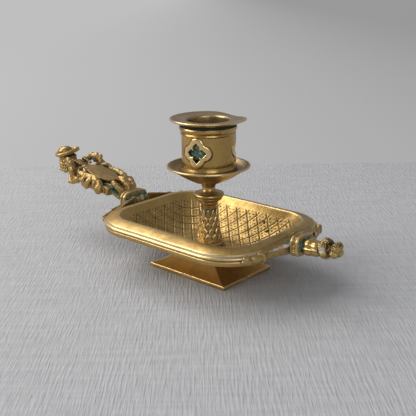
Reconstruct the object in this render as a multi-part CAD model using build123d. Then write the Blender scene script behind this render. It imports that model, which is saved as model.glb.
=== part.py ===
from build123d import *
import math
import os

# Chamberstick in cast and turned brass: a rectangular foot, a dished tray with a moulded rim, a leaf-cast
# stem, a drip pan and candle cup with a lift-out nozzle, a long openwork handle and a short berry finial.
# Millimetres. Origin: centre of the foot's underside, on the stem axis. +Z up, the handle runs along -X.

# ---------------------------------------------------------------- driving dimensions
# foot
foot_half_x = 26.0
foot_half_y = 18.8
foot_lip = 1.8              # upright edge round the base
foot_mid_x = 14.6           # half sizes where the slope steepens
foot_mid_y = 10.6
foot_mid_z = 7.0
foot_top_x = 10.6
foot_top_y = 9.0
foot_height = 10.8
foot_wall = 2.2             # in plan
foot_roof = 1.5
foot_boss_r = 6.0           # boss that takes the tie rod

# tray: crest = highest line of the rim, a rounded rectangle
crest_half_x = 43.7
crest_half_y = 32.4
crest_corner_r = 16.5
tray_floor = 2.2            # thickness of the floor
tray_wall = 1.5             # in-plane thickness of the dish wall
dish_depth = 15.9
dish_inset = 23.5           # from crest to flat floor, in plan
dish_floor_corner_r = 7.0
dish_sections = 6

# rim moulding, measured outward from the crest and down from it
band_width = 6.9
band_drop = 1.85
groove_in = 0.4
groove_drop = 2.4
bead_out = 1.4              # how far the bead stands beyond the band's edge
bead_drop = 4.35
lip_out = 0.8
rim_drop = 7.1
rim_thickness = 1.9

# stem, from the tray floor up
bush_r = 7.1
bush_height = 2.4
stem_base_r = 6.6
stem_top_r = 3.95
stem_height = 18.2
knop_height = 11.1
knop_r = 7.9
knop_ring_r = 6.86
neck_ring_r = 4.8
neck_wall = 1.05            # metal round the rod at the waist

# drip pan and candle cup; the cup's wall is worked out from the candle outward
candle_r = 10.75            # socket radius
nozzle_wall = 1.2
nozzle_cup_gap = 0.25
cup_wall = 1.4
cup_base_out = 0.5          # mouldings, beyond the cup's wall
cup_lip_out = 1.1
pan_out = 7.33              # pan's edge beyond the cup's base
nozzle_rim_out = 4.55       # rim's edge beyond the cup's lip
nozzle_shoulder_out = 1.35  # shoulder beyond the nozzle's tube
pan_height = 9.2            # from the knop to the seat of the cup
pan_edge_rise = 2.4         # edge above the seat
pan_edge = 0.9
cup_height = 22.5
cup_floor = 2.0

# nozzle
nozzle_rim_rise = 4.1       # top of the rim above the cup's lip
nozzle_base = 1.2
nozzle_drop = 15.4          # length of the tube below the cup's lip

# quatrefoil windows
quatrefoil_count = 3
quatrefoil_angle = -73.7    # first window, degrees about +Z
quatrefoil_rise = 10.8      # centre above the cup's seat
lobe_r = 4.05
lobe_offset = 3.75
barb_half = 4.45            # half side of the square between the lobes
star_tip = 5.1
star_shoulder_x = 3.1       # widest place of each point of the star
star_shoulder_y = 1.9
star_notch = 1.55
window_gap = 0.12
window_depth = 0.75
bezel_proud = 0.3

# tie rod
rod_r = 2.0
rod_clearance = 0.25
rod_blind = 3.0             # metal left under the rod in the foot
nut_wall = 1.5              # from the rod to the nut's flats
nut_height = 2.2
washer_out = 1.1            # washer beyond the nut's flats
washer_height = 0.6
rod_over_nut = 0.5

# end brackets
collar_z = 27.3             # height of the handle and finial axis at the tray
collar_half_z = 5.1
bracket_reach = 4.2         # from the rim's bead to the collar
strap_width = 4.6
strap_under = 4.0           # strap's underside below the collar axis
strap_edge_rise = 0.3       # outer edge above the axis
strap_top_rise = 2.6
strap_start_y = 20.5
strap_margin = 2.0          # collar left showing beside the strap
strap_skew = 21.0           # degrees between the strap and the tray's end
web_height = 2.6
leaf_angle = 20.0           # place of the leaf foot round the rim's corner
leaf_long = 6.2
leaf_deep = 2.7
leaf_tall = 3.1
rivet_r = 0.9
rivet_head_r = 1.6
rivet_head = 0.7
stud_r = 1.5
stud_in = 2.6               # length in the bracket

# handle end
handle_collar_half_y = 9.0
handle_collar_length = 4.2
handle_length = 51.0
handle_start_slope = 22.0   # degrees, where it leaves the collar
handle_end_slope = 4.0
handle_thickness = 4.4
shaft_half_y = 4.6
rail_half_x = 17.0
rail_half_y = 11.3
rail_width = 2.7
rail_at = 25.5              # centre of the openwork beyond the collar
plate_half_x = 11.6
plate_half_y = 7.4
plate_thickness = 1.4
root_at = 7.0               # leafy swelling next to the collar
root_half_x = 8.0
root_half_y = 5.4
root_half_z = 4.8
ball_at = 15.5
ball_r = 3.1
leaf_at = 24.5
leaf_half_x = 4.8
leaf_half_y = 2.9
leaf_half_z = 3.0
volute_at = 37.0
volute_r = 5.2
volute_thickness = 3.0
head_neck = 0.6
head_half_x = 6.6
head_half_y = 6.0
head_half_z = 7.2
hat_half_x = 6.0
hat_half_y = 8.6
hat_brim = 1.6
hat_crown = 4.2

# finial end
finial_collar_half_y = 7.0
finial_collar_length = 4.4
bud_length = 9.2
bud_half_y = 4.6
bud_half_z = 3.9
bud_end = 0.8
berry_r = 2.3
berry_ring_r = 3.0
berry_tip_ring_r = 2.2

# ---------------------------------------------------------------- places worked out from the sizes
floor_z = foot_height + tray_floor
crest_z = floor_z + dish_depth
bush_top = floor_z + bush_height
stem_top = bush_top + stem_height
knop_top = stem_top + knop_height
cup_seat = knop_top + pan_height
cup_top = cup_seat + cup_height
nut_z = cup_seat + cup_floor
rod_top = nut_z + washer_height + nut_height + rod_over_nut
nozzle_r = candle_r + nozzle_wall
cup_r = nozzle_r + nozzle_cup_gap + cup_wall
cup_base_r = cup_r + cup_base_out
cup_lip_r = cup_r + cup_lip_out
pan_r = cup_base_r + pan_out
nozzle_rim_r = cup_lip_r + nozzle_rim_out
nozzle_shoulder_r = nozzle_r + nozzle_shoulder_out
nozzle_bottom = cup_top - nozzle_drop
nozzle_top = cup_top + nozzle_rim_rise
rod_hole_r = rod_r + rod_clearance
neck_r = rod_hole_r + neck_wall
bead_x = crest_half_x + band_width + bead_out
collar_x = bead_x + bracket_reach
corner_x = crest_half_x - crest_corner_r
corner_y = crest_half_y - crest_corner_r
handle_x = -(collar_x + handle_collar_length)
finial_x = collar_x + finial_collar_length


def save(node, shape):
    """Write one piece to its own file."""
    shape.label = node
    export_step(shape, f"parts/{node}.step")


def turned(points):
    """A piece turned on the stem axis, from its half outline."""
    with BuildPart() as piece:
        with BuildSketch(Plane.XZ):
            with BuildLine():
                Polyline(*points, close=True)
            make_face()
        revolve(axis=Axis.Z)
    return piece.part


def rod(radius, bottom, top):
    """An upright cylinder on the stem axis, between two heights."""
    return Pos(0, 0, (bottom + top) / 2) * Cylinder(radius, top - bottom)


def rounded_section(half_x, half_y, radius, z):
    return Pos(0, 0, z) * RectangleRounded(2 * half_x, 2 * half_y, radius)


# ---------------------------------------------------------------- foot
def plinth(inset, lift):
    """The hipped outline of the foot, drawn in by a wall and let down by its roof."""
    levels = ((foot_half_x, foot_half_y, foot_lip), (foot_mid_x, foot_mid_y, foot_mid_z),
              (foot_top_x, foot_top_y, foot_height))
    faces = [Pos(0, 0, z - lift) * Rectangle(2 * (x - inset), 2 * (y - inset)) for x, y, z in levels]
    edge = extrude(Rectangle(2 * (foot_half_x - inset), 2 * (foot_half_y - inset)), foot_lip - lift)
    return edge + loft(faces[:2], ruled=True) + loft(faces[1:], ruled=True)


def make_foot():
    """A low hipped plinth, hollow below, with a boss for the tie rod."""
    hollow = plinth(foot_wall, foot_roof) - rod(foot_boss_r, 0, foot_height)
    return plinth(0, 0) - hollow - rod(rod_r, rod_blind, foot_height)


# ---------------------------------------------------------------- tray
def dish(grow, drop):
    """The hollow of the dish, its walls easing into the flat floor."""
    sections = []
    for step in range(dish_sections):
        share = step / (dish_sections - 1)
        inset = dish_inset * share - grow
        radius = crest_corner_r + (dish_floor_corner_r - crest_corner_r) * share + grow
        depth = dish_depth * (1 - (1 - share) ** 2)
        sections.append(rounded_section(crest_half_x - inset, crest_half_y - inset, radius, crest_z - depth - drop))
    return loft(sections)


def rim_outline():
    """Section of the rim moulding, in the plane that cuts the tray's side at its middle."""

    def at(out, down):
        return (crest_half_x + out, crest_z - down)

    edge = band_width + lip_out
    with BuildSketch(Plane.XZ) as section:
        with BuildLine():
            ThreePointArc(at(0, 0), at(band_width / 2, band_drop * 0.32), at(band_width, band_drop))
            Line(at(band_width, band_drop), at(band_width - groove_in, groove_drop))
            ThreePointArc(
                at(band_width - groove_in, groove_drop),
                at(band_width + bead_out, (groove_drop + bead_drop) / 2),
                at(band_width + groove_in, bead_drop),
            )
            Polyline(
                at(band_width + groove_in, bead_drop),
                at(edge, bead_drop + groove_in),
                at(edge - groove_in, rim_drop),
                at(edge - groove_in - rim_thickness, rim_drop),
                at(band_width - rim_thickness, bead_drop - groove_in),
                at(rim_thickness / 2, rim_thickness + band_drop / 4),
                at(-tray_wall, rim_thickness + tray_wall),
                at(0, 0),
            )
        make_face()
    return section.sketch


def rim_path():
    """The crest line, once round from the middle of the +X end."""
    corners = ((corner_x, corner_y), (-corner_x, corner_y), (-corner_x, -corner_y), (corner_x, -corner_y))
    with BuildLine() as path:
        Line((crest_half_x, 0, crest_z), (crest_half_x, corner_y, crest_z))
        for quarter, (x, y) in enumerate(corners):
            CenterArc((x, y, crest_z), crest_corner_r, quarter * 90, 90)
        Line((corner_x, crest_half_y, crest_z), (-corner_x, crest_half_y, crest_z))
        Line((-crest_half_x, corner_y, crest_z), (-crest_half_x, -corner_y, crest_z))
        Line((-corner_x, -crest_half_y, crest_z), (corner_x, -crest_half_y, crest_z))
        Line((crest_half_x, -corner_y, crest_z), (crest_half_x, 0, crest_z))
    return path.wire()


def rivet_frames(side):
    """Where the two rivets of one bracket go through the lip, pointing outward."""
    frames = []
    for flank in (-1, 1):
        angle = math.radians(leaf_angle)
        out = Vector(side * math.cos(angle), flank * math.sin(angle), 0)
        lip = crest_corner_r + band_width + lip_out - groove_in - rim_thickness
        centre = Vector(side * corner_x, flank * corner_y, crest_z - (bead_drop + rim_drop) / 2)
        frames.append(Plane(origin=centre + out * lip, z_dir=out))
    return frames


def rivets(side):
    """Two round-headed rivets, heads inside the rim."""
    pieces = []
    for frame in rivet_frames(side):
        shank = frame.location * Pos(0, 0, rim_thickness / 2 + 0.6) * Cylinder(rivet_r, rim_thickness + 1.2)
        head = frame.location * Pos(0, 0, -rivet_head / 2) * Cylinder(rivet_head_r, rivet_head)
        pieces.append(head + shank)
    return pieces


def make_tray():
    rim = sweep(rim_outline(), path=rim_path())
    outside = dish(tray_wall, tray_floor)
    top = extrude(rounded_section(crest_half_x + band_width, crest_half_y + band_width,
                                  crest_corner_r + band_width, crest_z), dish_depth)
    tray = rim + (outside - top) - dish(0, 0)
    for side in (-1, 1):
        for rivet in rivets(side):
            tray -= rivet
    return tray - rod(rod_hole_r, 0, crest_z)


# ---------------------------------------------------------------- stem
def make_bush():
    round_off = 0.6
    points = [(rod_hole_r, floor_z), (bush_r, floor_z), (bush_r, bush_top - round_off),
              (bush_r - round_off, bush_top), (rod_hole_r, bush_top)]
    return turned(points)


def make_stem():
    points = [(rod_hole_r, bush_top), (stem_base_r, bush_top), (stem_base_r - 0.6, bush_top + 4.0),
              (stem_top_r + 0.9, stem_top - 6.0), (stem_top_r, stem_top), (rod_hole_r, stem_top)]
    return turned(points)


def make_knop():
    """Neck ring, two-ring knop and waist, turned in one."""
    neck_ring_z = stem_top + 3.0
    ring_z = stem_top + 5.3
    knop_z = stem_top + 7.1
    with BuildPart() as piece:
        with BuildSketch(Plane.XZ):
            with BuildLine():
                Line((rod_hole_r, stem_top), (stem_top_r, stem_top))
                Line((stem_top_r, stem_top), (stem_top_r, neck_ring_z - 1.2))
                ThreePointArc((stem_top_r, neck_ring_z - 1.2), (neck_ring_r, neck_ring_z),
                              (stem_top_r, neck_ring_z + 1.2))
                Line((stem_top_r, neck_ring_z + 1.2), (knop_ring_r - 0.9, ring_z - 0.9))
                ThreePointArc((knop_ring_r - 0.9, ring_z - 0.9), (knop_ring_r, ring_z),
                              (knop_ring_r - 0.5, ring_z + 0.7))
                ThreePointArc((knop_ring_r - 0.5, ring_z + 0.7), (knop_r, knop_z),
                              (knop_ring_r, knop_z + 1.0))
                ThreePointArc((knop_ring_r, knop_z + 1.0), (neck_r + 0.6, knop_z + 2.0), (neck_r, knop_top))
                Polyline((neck_r, knop_top), (rod_hole_r, knop_top), (rod_hole_r, stem_top))
            make_face()
        revolve(axis=Axis.Z)
    return piece.part


# ---------------------------------------------------------------- pan, cup and nozzle
def make_drip_pan():
    """A shallow pan on a flared stem, with a flat seat for the cup."""
    edge_z = cup_seat + pan_edge_rise
    with BuildPart() as piece:
        with BuildSketch(Plane.XZ):
            with BuildLine():
                Line((rod_hole_r, knop_top), (neck_r, knop_top))
                ThreePointArc((neck_r, knop_top), (neck_r + 1.7, knop_top + 2.2), (neck_r + 4.2, knop_top + 3.2))
                ThreePointArc((neck_r + 4.2, knop_top + 3.2), (pan_r * 0.7, knop_top + 6.4),
                              (pan_r, edge_z - pan_edge))
                Line((pan_r, edge_z - pan_edge), (pan_r, edge_z))
                Line((pan_r, edge_z), (pan_r - pan_edge, edge_z))
                ThreePointArc((pan_r - pan_edge, edge_z), (pan_r - 3.4, cup_seat + 0.6), (cup_base_r, cup_seat))
                Polyline((cup_base_r, cup_seat), (rod_hole_r, cup_seat), (rod_hole_r, knop_top))
            make_face()
        revolve(axis=Axis.Z)
    return piece.part


def window_frames():
    """A plane for each quatrefoil window, facing out from the cup's axis."""
    frames = []
    for index in range(quatrefoil_count):
        angle = math.radians(quatrefoil_angle + index * 360 / quatrefoil_count)
        out = Vector(math.cos(angle), math.sin(angle), 0)
        around = Vector(-math.sin(angle), math.cos(angle), 0)
        frames.append(Plane(origin=(0, 0, cup_seat + quatrefoil_rise), x_dir=around, z_dir=out))
    return frames


def window_prism(frame, outline):
    """An outline pushed outward from the cup's axis."""
    return extrude(frame * outline, amount=cup_r * 2, dir=frame.z_dir)


def quatrefoil(grow):
    """Four round lobes with the corners of a square between them."""
    outline = Rectangle(2 * (barb_half + grow), 2 * (barb_half + grow))
    for x, y in ((1, 0), (0, 1), (-1, 0), (0, -1)):
        outline += Pos(x * lobe_offset, y * lobe_offset) * Circle(lobe_r + grow)
    return outline


def star():
    """The four-pointed opening in the middle of a window."""
    corners = []
    for quarter in range(4):
        turn = Rot(0, 0, 90 * quarter)
        for x, y in ((star_tip, 0), (star_shoulder_x, star_shoulder_y), (star_notch, star_notch),
                     (star_shoulder_y, star_shoulder_x)):
            corners.append((turn * Pos(x, y)).position)
    return make_face(Polyline(*corners, close=True))


def make_cup():
    inner = cup_r - cup_wall
    lip_z = cup_top - 1.7
    points = [(rod_hole_r, cup_seat), (cup_base_r, cup_seat), (cup_base_r, cup_seat + 1.4),
              (cup_r + 0.15, cup_seat + 2.4), (cup_r, cup_seat + 3.2), (cup_r, lip_z - 2.3),
              (cup_r + 0.5, lip_z - 1.7), (cup_r + 0.2, lip_z - 1.0), (cup_lip_r - 0.3, lip_z),
              (cup_lip_r, cup_top - 0.6), (cup_lip_r - 0.3, cup_top), (inner, cup_top),
              (inner, cup_seat + cup_floor), (rod_hole_r, cup_seat + cup_floor)]
    cup = turned(points)
    seat_r = cup_r - window_depth
    recess = rod(cup_r * 2, cup_seat, cup_top) - rod(seat_r, cup_seat, cup_top)
    for frame in window_frames():
        cup -= window_prism(frame, quatrefoil(window_gap)) & recess
        cup -= window_prism(frame, star())
    return cup


def make_quatrefoils():
    seat_r = cup_r - window_depth
    sleeve = rod(cup_r + bezel_proud, cup_seat, cup_top) - rod(seat_r, cup_seat, cup_top)
    return [(window_prism(frame, quatrefoil(0)) - window_prism(frame, star())) & sleeve
            for frame in window_frames()]


def make_nozzle():
    """A lift-out socket with a wide dished rim."""
    with BuildPart() as piece:
        with BuildSketch(Plane.XZ):
            with BuildLine():
                Polyline((0, nozzle_bottom), (nozzle_r, nozzle_bottom), (nozzle_r, cup_top),
                         (nozzle_shoulder_r, cup_top), (nozzle_shoulder_r, cup_top + 1.1))
                ThreePointArc((nozzle_shoulder_r, cup_top + 1.1), (nozzle_shoulder_r + 3.4, cup_top + 2.0),
                              (nozzle_rim_r, nozzle_top - 1.0))
                ThreePointArc((nozzle_rim_r, nozzle_top - 1.0), (nozzle_rim_r + 0.25, nozzle_top - 0.5),
                              (nozzle_rim_r - 0.2, nozzle_top))
                ThreePointArc((nozzle_rim_r - 0.2, nozzle_top), (candle_r + 4.6, nozzle_top - 1.0),
                              (candle_r + 0.9, nozzle_top - 0.9))
                ThreePointArc((candle_r + 0.9, nozzle_top - 0.9), (candle_r + 0.25, nozzle_top - 1.15),
                              (candle_r, nozzle_top - 1.8))
                Polyline((candle_r, nozzle_top - 1.8), (candle_r, nozzle_bottom + nozzle_base),
                         (0, nozzle_bottom + nozzle_base), (0, nozzle_bottom))
            make_face()
        revolve(axis=Axis.Z)
    return piece.part


def make_tie_parts():
    tie_rod = rod(rod_r, rod_blind, rod_top)
    nut_r = rod_r + nut_wall
    washer = rod(nut_r + washer_out, nut_z, nut_z + washer_height) - rod(rod_hole_r, nut_z, nut_z + washer_height)
    hexagon = RegularPolygon(nut_r, 6, major_radius=False)
    nut = extrude(Pos(0, 0, nut_z + washer_height) * hexagon, nut_height)
    nut -= rod(rod_r, nut_z, rod_top)
    return tie_rod, washer, nut


# ---------------------------------------------------------------- brackets at the tray's ends
def strap(half_y):
    """The +Y arm of a bracket: a moulded bar from the rim's corner in to the collar."""
    end_y = half_y - strap_margin
    outline = make_face(Polyline(
        (0, 0, -strap_under), (0, 0, strap_edge_rise), (-strap_width * 0.8, 0, strap_top_rise),
        (-strap_width, 0, strap_top_rise), (-strap_width, 0, -strap_under), close=True))
    length = (strap_start_y - end_y) / math.cos(math.radians(strap_skew))
    bar = extrude(outline, amount=length, dir=(0, 1, 0))
    return Pos(collar_x + 1.0, end_y, collar_z) * Rot(0, 0, strap_skew) * bar


def make_bracket(side, tray, half_y, collar_length):
    """Two moulded straps, their leaf feet on the rim, and the web between them, cast in one."""
    arm = strap(half_y)
    bracket = arm + mirror(arm, about=Plane.XZ)
    web_z = collar_z - strap_under
    web = Pos(collar_x - 3.5, 0, web_z + web_height / 2) * Box(9.0, 2 * half_y, web_height)
    lobe = Pos(collar_x - 0.5, 0, collar_z - 0.4) * scale(Sphere(1), by=(3.4, 3.3, 4.0))
    bracket = bracket + web + lobe
    bracket &= Pos(collar_x - 30, 0, collar_z) * Box(60, 80, 30)
    for flank in (-1, 1):
        angle = math.radians(leaf_angle)
        reach = crest_corner_r + band_width + 0.6
        place = Pos(corner_x + reach * math.cos(angle), flank * (corner_y + reach * math.sin(angle)),
                    crest_z - bead_drop)
        leaf = scale(Sphere(1), by=(leaf_deep, leaf_long, leaf_tall))
        bracket += place * Rot(0, 0, flank * leaf_angle) * leaf
    if side < 0:
        bracket = Rot(0, 0, 180) * bracket
    bracket -= tray
    bracket -= Pos(0, 0, crest_z - rim_drop / 2) * extrude(
        rounded_section(crest_half_x + band_width, crest_half_y + band_width, crest_corner_r + band_width, 0),
        rim_drop, both=True)
    for rivet in rivets(side):
        bracket -= rivet
    bracket -= stud(side, collar_length)
    return max(bracket.solids(), key=lambda solid: solid.volume)


def stud(side, collar_length):
    """The threaded stud that draws the end casting, its collar and the bracket together."""
    length = stud_in + collar_length + 3.0
    centre = side * (collar_x - stud_in + length / 2)
    return Pos(centre, 0, collar_z) * Rot(0, 90, 0) * Cylinder(stud_r, length)


def make_collar(side, half_y, length):
    """An arched plate with a raised border, drilled for the stud."""
    corner = min(half_y, collar_half_z) * 0.8
    with BuildPart() as piece:
        with BuildSketch(Plane.YZ):
            RectangleRounded(2 * half_y, 2 * collar_half_z, corner)
        extrude(amount=length)
        fillet(piece.edges().filter_by(GeomType.CIRCLE, reverse=False).group_by(Axis.X)[0], 0.5)
    collar = Pos(side * collar_x + (0 if side > 0 else -length), 0, collar_z) * piece.part
    return collar - stud(side, length)


# ---------------------------------------------------------------- long handle
def handle_angle(along):
    """Slope of the handle, in radians, at a distance beyond its collar."""
    start = math.sin(math.radians(handle_start_slope))
    end = math.sin(math.radians(handle_end_slope))
    return math.asin(start - (start - end) * along / handle_length)


def handle_point(along, up=0.0):
    """A point of the handle's curved middle layer, lifted along its normal."""
    start = math.radians(handle_start_slope)
    end = math.radians(handle_end_slope)
    radius = handle_length / (math.sin(start) - math.sin(end))
    angle = handle_angle(along)
    x = handle_x - along + up * math.sin(angle)
    z = collar_z + radius * (math.cos(angle) - math.cos(start)) + up * math.cos(angle)
    return x, z


def handle_layer(low, high, reach):
    """A curved slab between two heights over the middle layer, as long as the handle."""
    first = [handle_point(along, low) for along in (-4, reach / 2, reach)]
    last = [handle_point(along, high) for along in (reach, reach / 2, -4)]
    with BuildPart() as slab:
        with BuildSketch(Plane.XZ):
            with BuildLine():
                ThreePointArc(*first)
                Line(first[2], last[0])
                ThreePointArc(*last)
                Line(last[2], first[0])
            make_face()
        extrude(amount=2 * rail_half_y, both=True)
    return slab.part


def upright(outline):
    """A plan outline of the openwork, through the whole height of the handle."""
    return extrude(Pos(handle_x - rail_at, 0, 0) * outline, crest_z * 3)


def on_handle(along, across, up, shape):
    x, z = handle_point(along, up)
    return Pos(x, across, z) * Rot(0, math.degrees(handle_angle(along)), 0) * shape


def make_handle():
    """The openwork casting: shaft, oval rail with its balls, leaves and scrolls, and the plate's bed."""
    rail = Ellipse(rail_half_x, rail_half_y) - Ellipse(rail_half_x - rail_width, rail_half_y - rail_width)
    bed = Ellipse(plate_half_x, plate_half_y)
    bridge = Rectangle(rail_width, 2 * rail_half_y - rail_width)
    shaft_length = rail_at - plate_half_x + 3
    shaft = Pos(plate_half_x + shaft_length / 2 - 3 + 2, 0) * Rectangle(shaft_length + 4, 2 * shaft_half_y)
    neck_length = handle_length - rail_at - plate_half_x + 3
    neck = Pos(-plate_half_x - neck_length / 2 + 3, 0) * Rectangle(neck_length, 2 * shaft_half_y)
    plan = rail + bed + bridge + shaft + neck
    casting = handle_layer(-handle_thickness / 2, handle_thickness / 2, handle_length) & upright(plan)
    casting += on_handle(root_at, 0, 0.8, scale(Sphere(1), by=(root_half_x, root_half_y, root_half_z)))
    for flank in (-1, 1):
        casting += on_handle(ball_at, flank * (rail_half_y - 0.5), 0, Sphere(ball_r))
        leaf = scale(Sphere(1), by=(leaf_half_x, leaf_half_y, leaf_half_z))
        casting += on_handle(leaf_at, flank * (rail_half_y - 0.3), 0, leaf)
        disc = Rot(90, 0, 0) * Cylinder(volute_r, volute_thickness)
        casting += on_handle(volute_at, flank * (rail_half_y - 2.4), 0, disc)
    casting &= Pos(handle_x - handle_length / 2, 0, collar_z) * Box(handle_length, 80, 80)
    return casting - stud(-1, handle_collar_length)


def make_plate():
    """The plain oval shield on top of the handle."""
    low = handle_thickness / 2
    return handle_layer(low, low + plate_thickness, handle_length) & upright(Ellipse(plate_half_x, plate_half_y))


def make_head():
    """A small head in a broad hat that closes the end of the handle."""
    end_x, end_z = handle_point(handle_length)
    centre_x = end_x - head_half_x - head_neck
    head = Pos(centre_x, 0, end_z) * scale(Sphere(1), by=(head_half_x, head_half_y, head_half_z))
    neck = Pos(end_x - head_half_x / 2, 0, end_z) * Box(head_half_x, 2 * shaft_half_y, handle_thickness)
    hat_z = end_z + head_half_z - 1.2
    brim = extrude(Pos(centre_x, 0, hat_z) * Ellipse(hat_half_x, hat_half_y), hat_brim)
    crown_z = hat_z + hat_brim
    crown = loft([Pos(centre_x, 0, crown_z) * Ellipse(hat_half_x * 0.8, hat_half_y * 0.8),
                  Pos(centre_x - 1.2, 0, crown_z + hat_crown) * Ellipse(hat_half_x * 0.55, hat_half_y * 0.5)])
    chin = Pos(centre_x - 1.4, 0, end_z - head_half_z + 0.4) * Sphere(1.8)
    return head + neck + brim + crown + chin


# ---------------------------------------------------------------- finial
def make_bud():
    """A six-sided bud with a ridge along each flank."""
    shoulder = bud_half_y * 0.55
    ridge_y = (bud_half_y, shoulder, -shoulder, -bud_half_y, -shoulder, shoulder)
    ridge_z = (0, bud_half_z, bud_half_z, 0, -bud_half_z, -bud_half_z)
    outline = make_face(Polyline(*[(finial_x, y, collar_z + z) for y, z in zip(ridge_y, ridge_z)], close=True))
    bud = extrude(outline, amount=bud_length, dir=(1, 0, 0))
    bud = chamfer(bud.edges().group_by(Axis.X)[0] + bud.edges().group_by(Axis.X)[-1], bud_end)
    return bud - stud(1, finial_collar_length)


def make_berries():
    """Two rings of berries on a short core."""
    start = finial_x + bud_length
    core_length = berry_r * 2.4
    cluster = Pos(start + core_length / 2, 0, collar_z) * Rot(0, 90, 0) * Cylinder(berry_ring_r, core_length)
    rings = ((start + berry_r - 0.3, berry_ring_r, 6), (start + 3.35 * berry_r, berry_tip_ring_r, 4))
    for x, ring_r, count in rings:
        for index in range(count):
            angle = math.radians(360 / count * (index + 0.5))
            cluster += Pos(x, ring_r * math.cos(angle), collar_z + ring_r * math.sin(angle)) * Sphere(berry_r)
    return cluster & (Pos(start + 20, 0, collar_z) * Box(40, 40, 40))


# ---------------------------------------------------------------- build and write
os.makedirs("parts", exist_ok=True)
tray_part = make_tray()
tie_rod_part, washer_part, nut_part = make_tie_parts()
save("foot", make_foot())
save("tray", tray_part)
save("stem_bush", make_bush())
save("stem", make_stem())
save("knop", make_knop())
save("drip_pan", make_drip_pan())
save("candle_cup", make_cup())
for number, bezel in enumerate(make_quatrefoils(), 1):
    save(f"quatrefoil_{number}", bezel)
save("nozzle", make_nozzle())
save("tie_rod", tie_rod_part)
save("tie_washer", washer_part)
save("tie_nut", nut_part)
ends = (("handle", -1, handle_collar_half_y, handle_collar_length),
        ("finial", 1, finial_collar_half_y, finial_collar_length))
for name, side, half_y, length in ends:
    save(f"{name}_bracket", make_bracket(side, tray_part, half_y, length))
    save(f"{name}_collar", make_collar(side, half_y, length))
    save(f"{name}_stud", stud(side, length))
    save(f"{name}_rivets", Compound(children=rivets(side)))
save("handle", make_handle())
save("handle_plate", make_plate())
save("handle_head", make_head())
save("finial_bud", make_bud())
save("finial_berries", make_berries())
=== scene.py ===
from math import asin, atan2, ceil, cos, degrees, exp, hypot, pi, radians, sin, sqrt, tau
import bmesh
import bpy
from mathutils import Matrix, Vector, noise


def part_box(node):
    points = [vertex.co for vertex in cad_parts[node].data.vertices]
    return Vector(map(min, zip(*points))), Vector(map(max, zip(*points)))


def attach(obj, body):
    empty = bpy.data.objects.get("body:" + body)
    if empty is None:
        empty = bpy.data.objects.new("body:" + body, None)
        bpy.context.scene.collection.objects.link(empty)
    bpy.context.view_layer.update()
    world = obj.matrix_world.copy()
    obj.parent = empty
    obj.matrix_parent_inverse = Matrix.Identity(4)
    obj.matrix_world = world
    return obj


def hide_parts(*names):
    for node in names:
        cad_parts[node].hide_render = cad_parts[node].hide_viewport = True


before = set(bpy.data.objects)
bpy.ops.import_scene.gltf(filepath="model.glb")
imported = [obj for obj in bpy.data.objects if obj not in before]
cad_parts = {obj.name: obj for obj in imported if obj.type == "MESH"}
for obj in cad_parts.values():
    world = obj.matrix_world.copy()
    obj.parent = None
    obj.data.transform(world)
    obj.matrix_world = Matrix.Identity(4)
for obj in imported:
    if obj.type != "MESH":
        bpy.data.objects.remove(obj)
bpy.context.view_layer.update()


# -------- foot
# A low rectangular plinth cast in brass with four hollow-curved hips and an upright lip, open underneath.
# It is the base that the whole stick stands on; the tie rod screws into a boss under its small flat top.
MM = 0.001


class Reading:
    """A number running through a finish; arithmetic on it adds the Math nodes."""

    def __init__(self, finish, socket):
        self.finish, self.socket = finish, socket

    def work(self, operation, first, second):
        return self.finish.node("ShaderNodeMath", {"operation": operation}, {0: first, 1: second})

    def __add__(self, other):
        return self.work("ADD", self, other)

    def __sub__(self, other):
        return self.work("SUBTRACT", self, other)

    def __rsub__(self, other):
        return self.work("SUBTRACT", other, self)

    def __mul__(self, other):
        return self.work("MULTIPLY", self, other)

    __radd__, __rmul__ = __add__, __mul__


class Finish:
    """One surface finish and the nodes that it is made of."""

    def __init__(self, name):
        self.material = bpy.data.materials.new(name)
        self.material.use_nodes = True
        self.tree = self.material.node_tree
        self.tree.nodes.clear()

    def node(self, kind, settings=None, sockets=None, output=0):
        made = self.tree.nodes.new(kind)
        for name, value in (settings or {}).items():
            setattr(made, name, value)
        for name, value in (sockets or {}).items():
            if isinstance(value, Reading):
                self.tree.links.new(value.socket, made.inputs[name])
            else:
                made.inputs[name].default_value = value
        return Reading(self, made.outputs[output]) if made.outputs else None

    def cloud(self, where, size, detail=3.0, stretch=0.0):
        """Soft blotches about this many millimetres across."""
        return self.node("ShaderNodeTexNoise", sockets={
            "Vector": where, "Scale": 1 / (size * MM), "Detail": detail, "Distortion": stretch})

    def rise(self, value, low, high):
        """0 below low, 1 above high, with a soft shoulder at each."""
        return self.node("ShaderNodeMapRange", {"interpolation_type": "SMOOTHSTEP"},
                         {"Value": value, "From Min": low, "From Max": high})

    def mix(self, amount, first, second):
        return self.node("ShaderNodeMix", {"data_type": "RGBA"}, {0: amount, 6: first, 7: second}, output=2)

    def painted(self, name):
        """A value painted on the piece's own points; 0 where the piece has none."""
        return self.node("ShaderNodeAttribute", {"attribute_name": name}, output="Fac")


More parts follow.
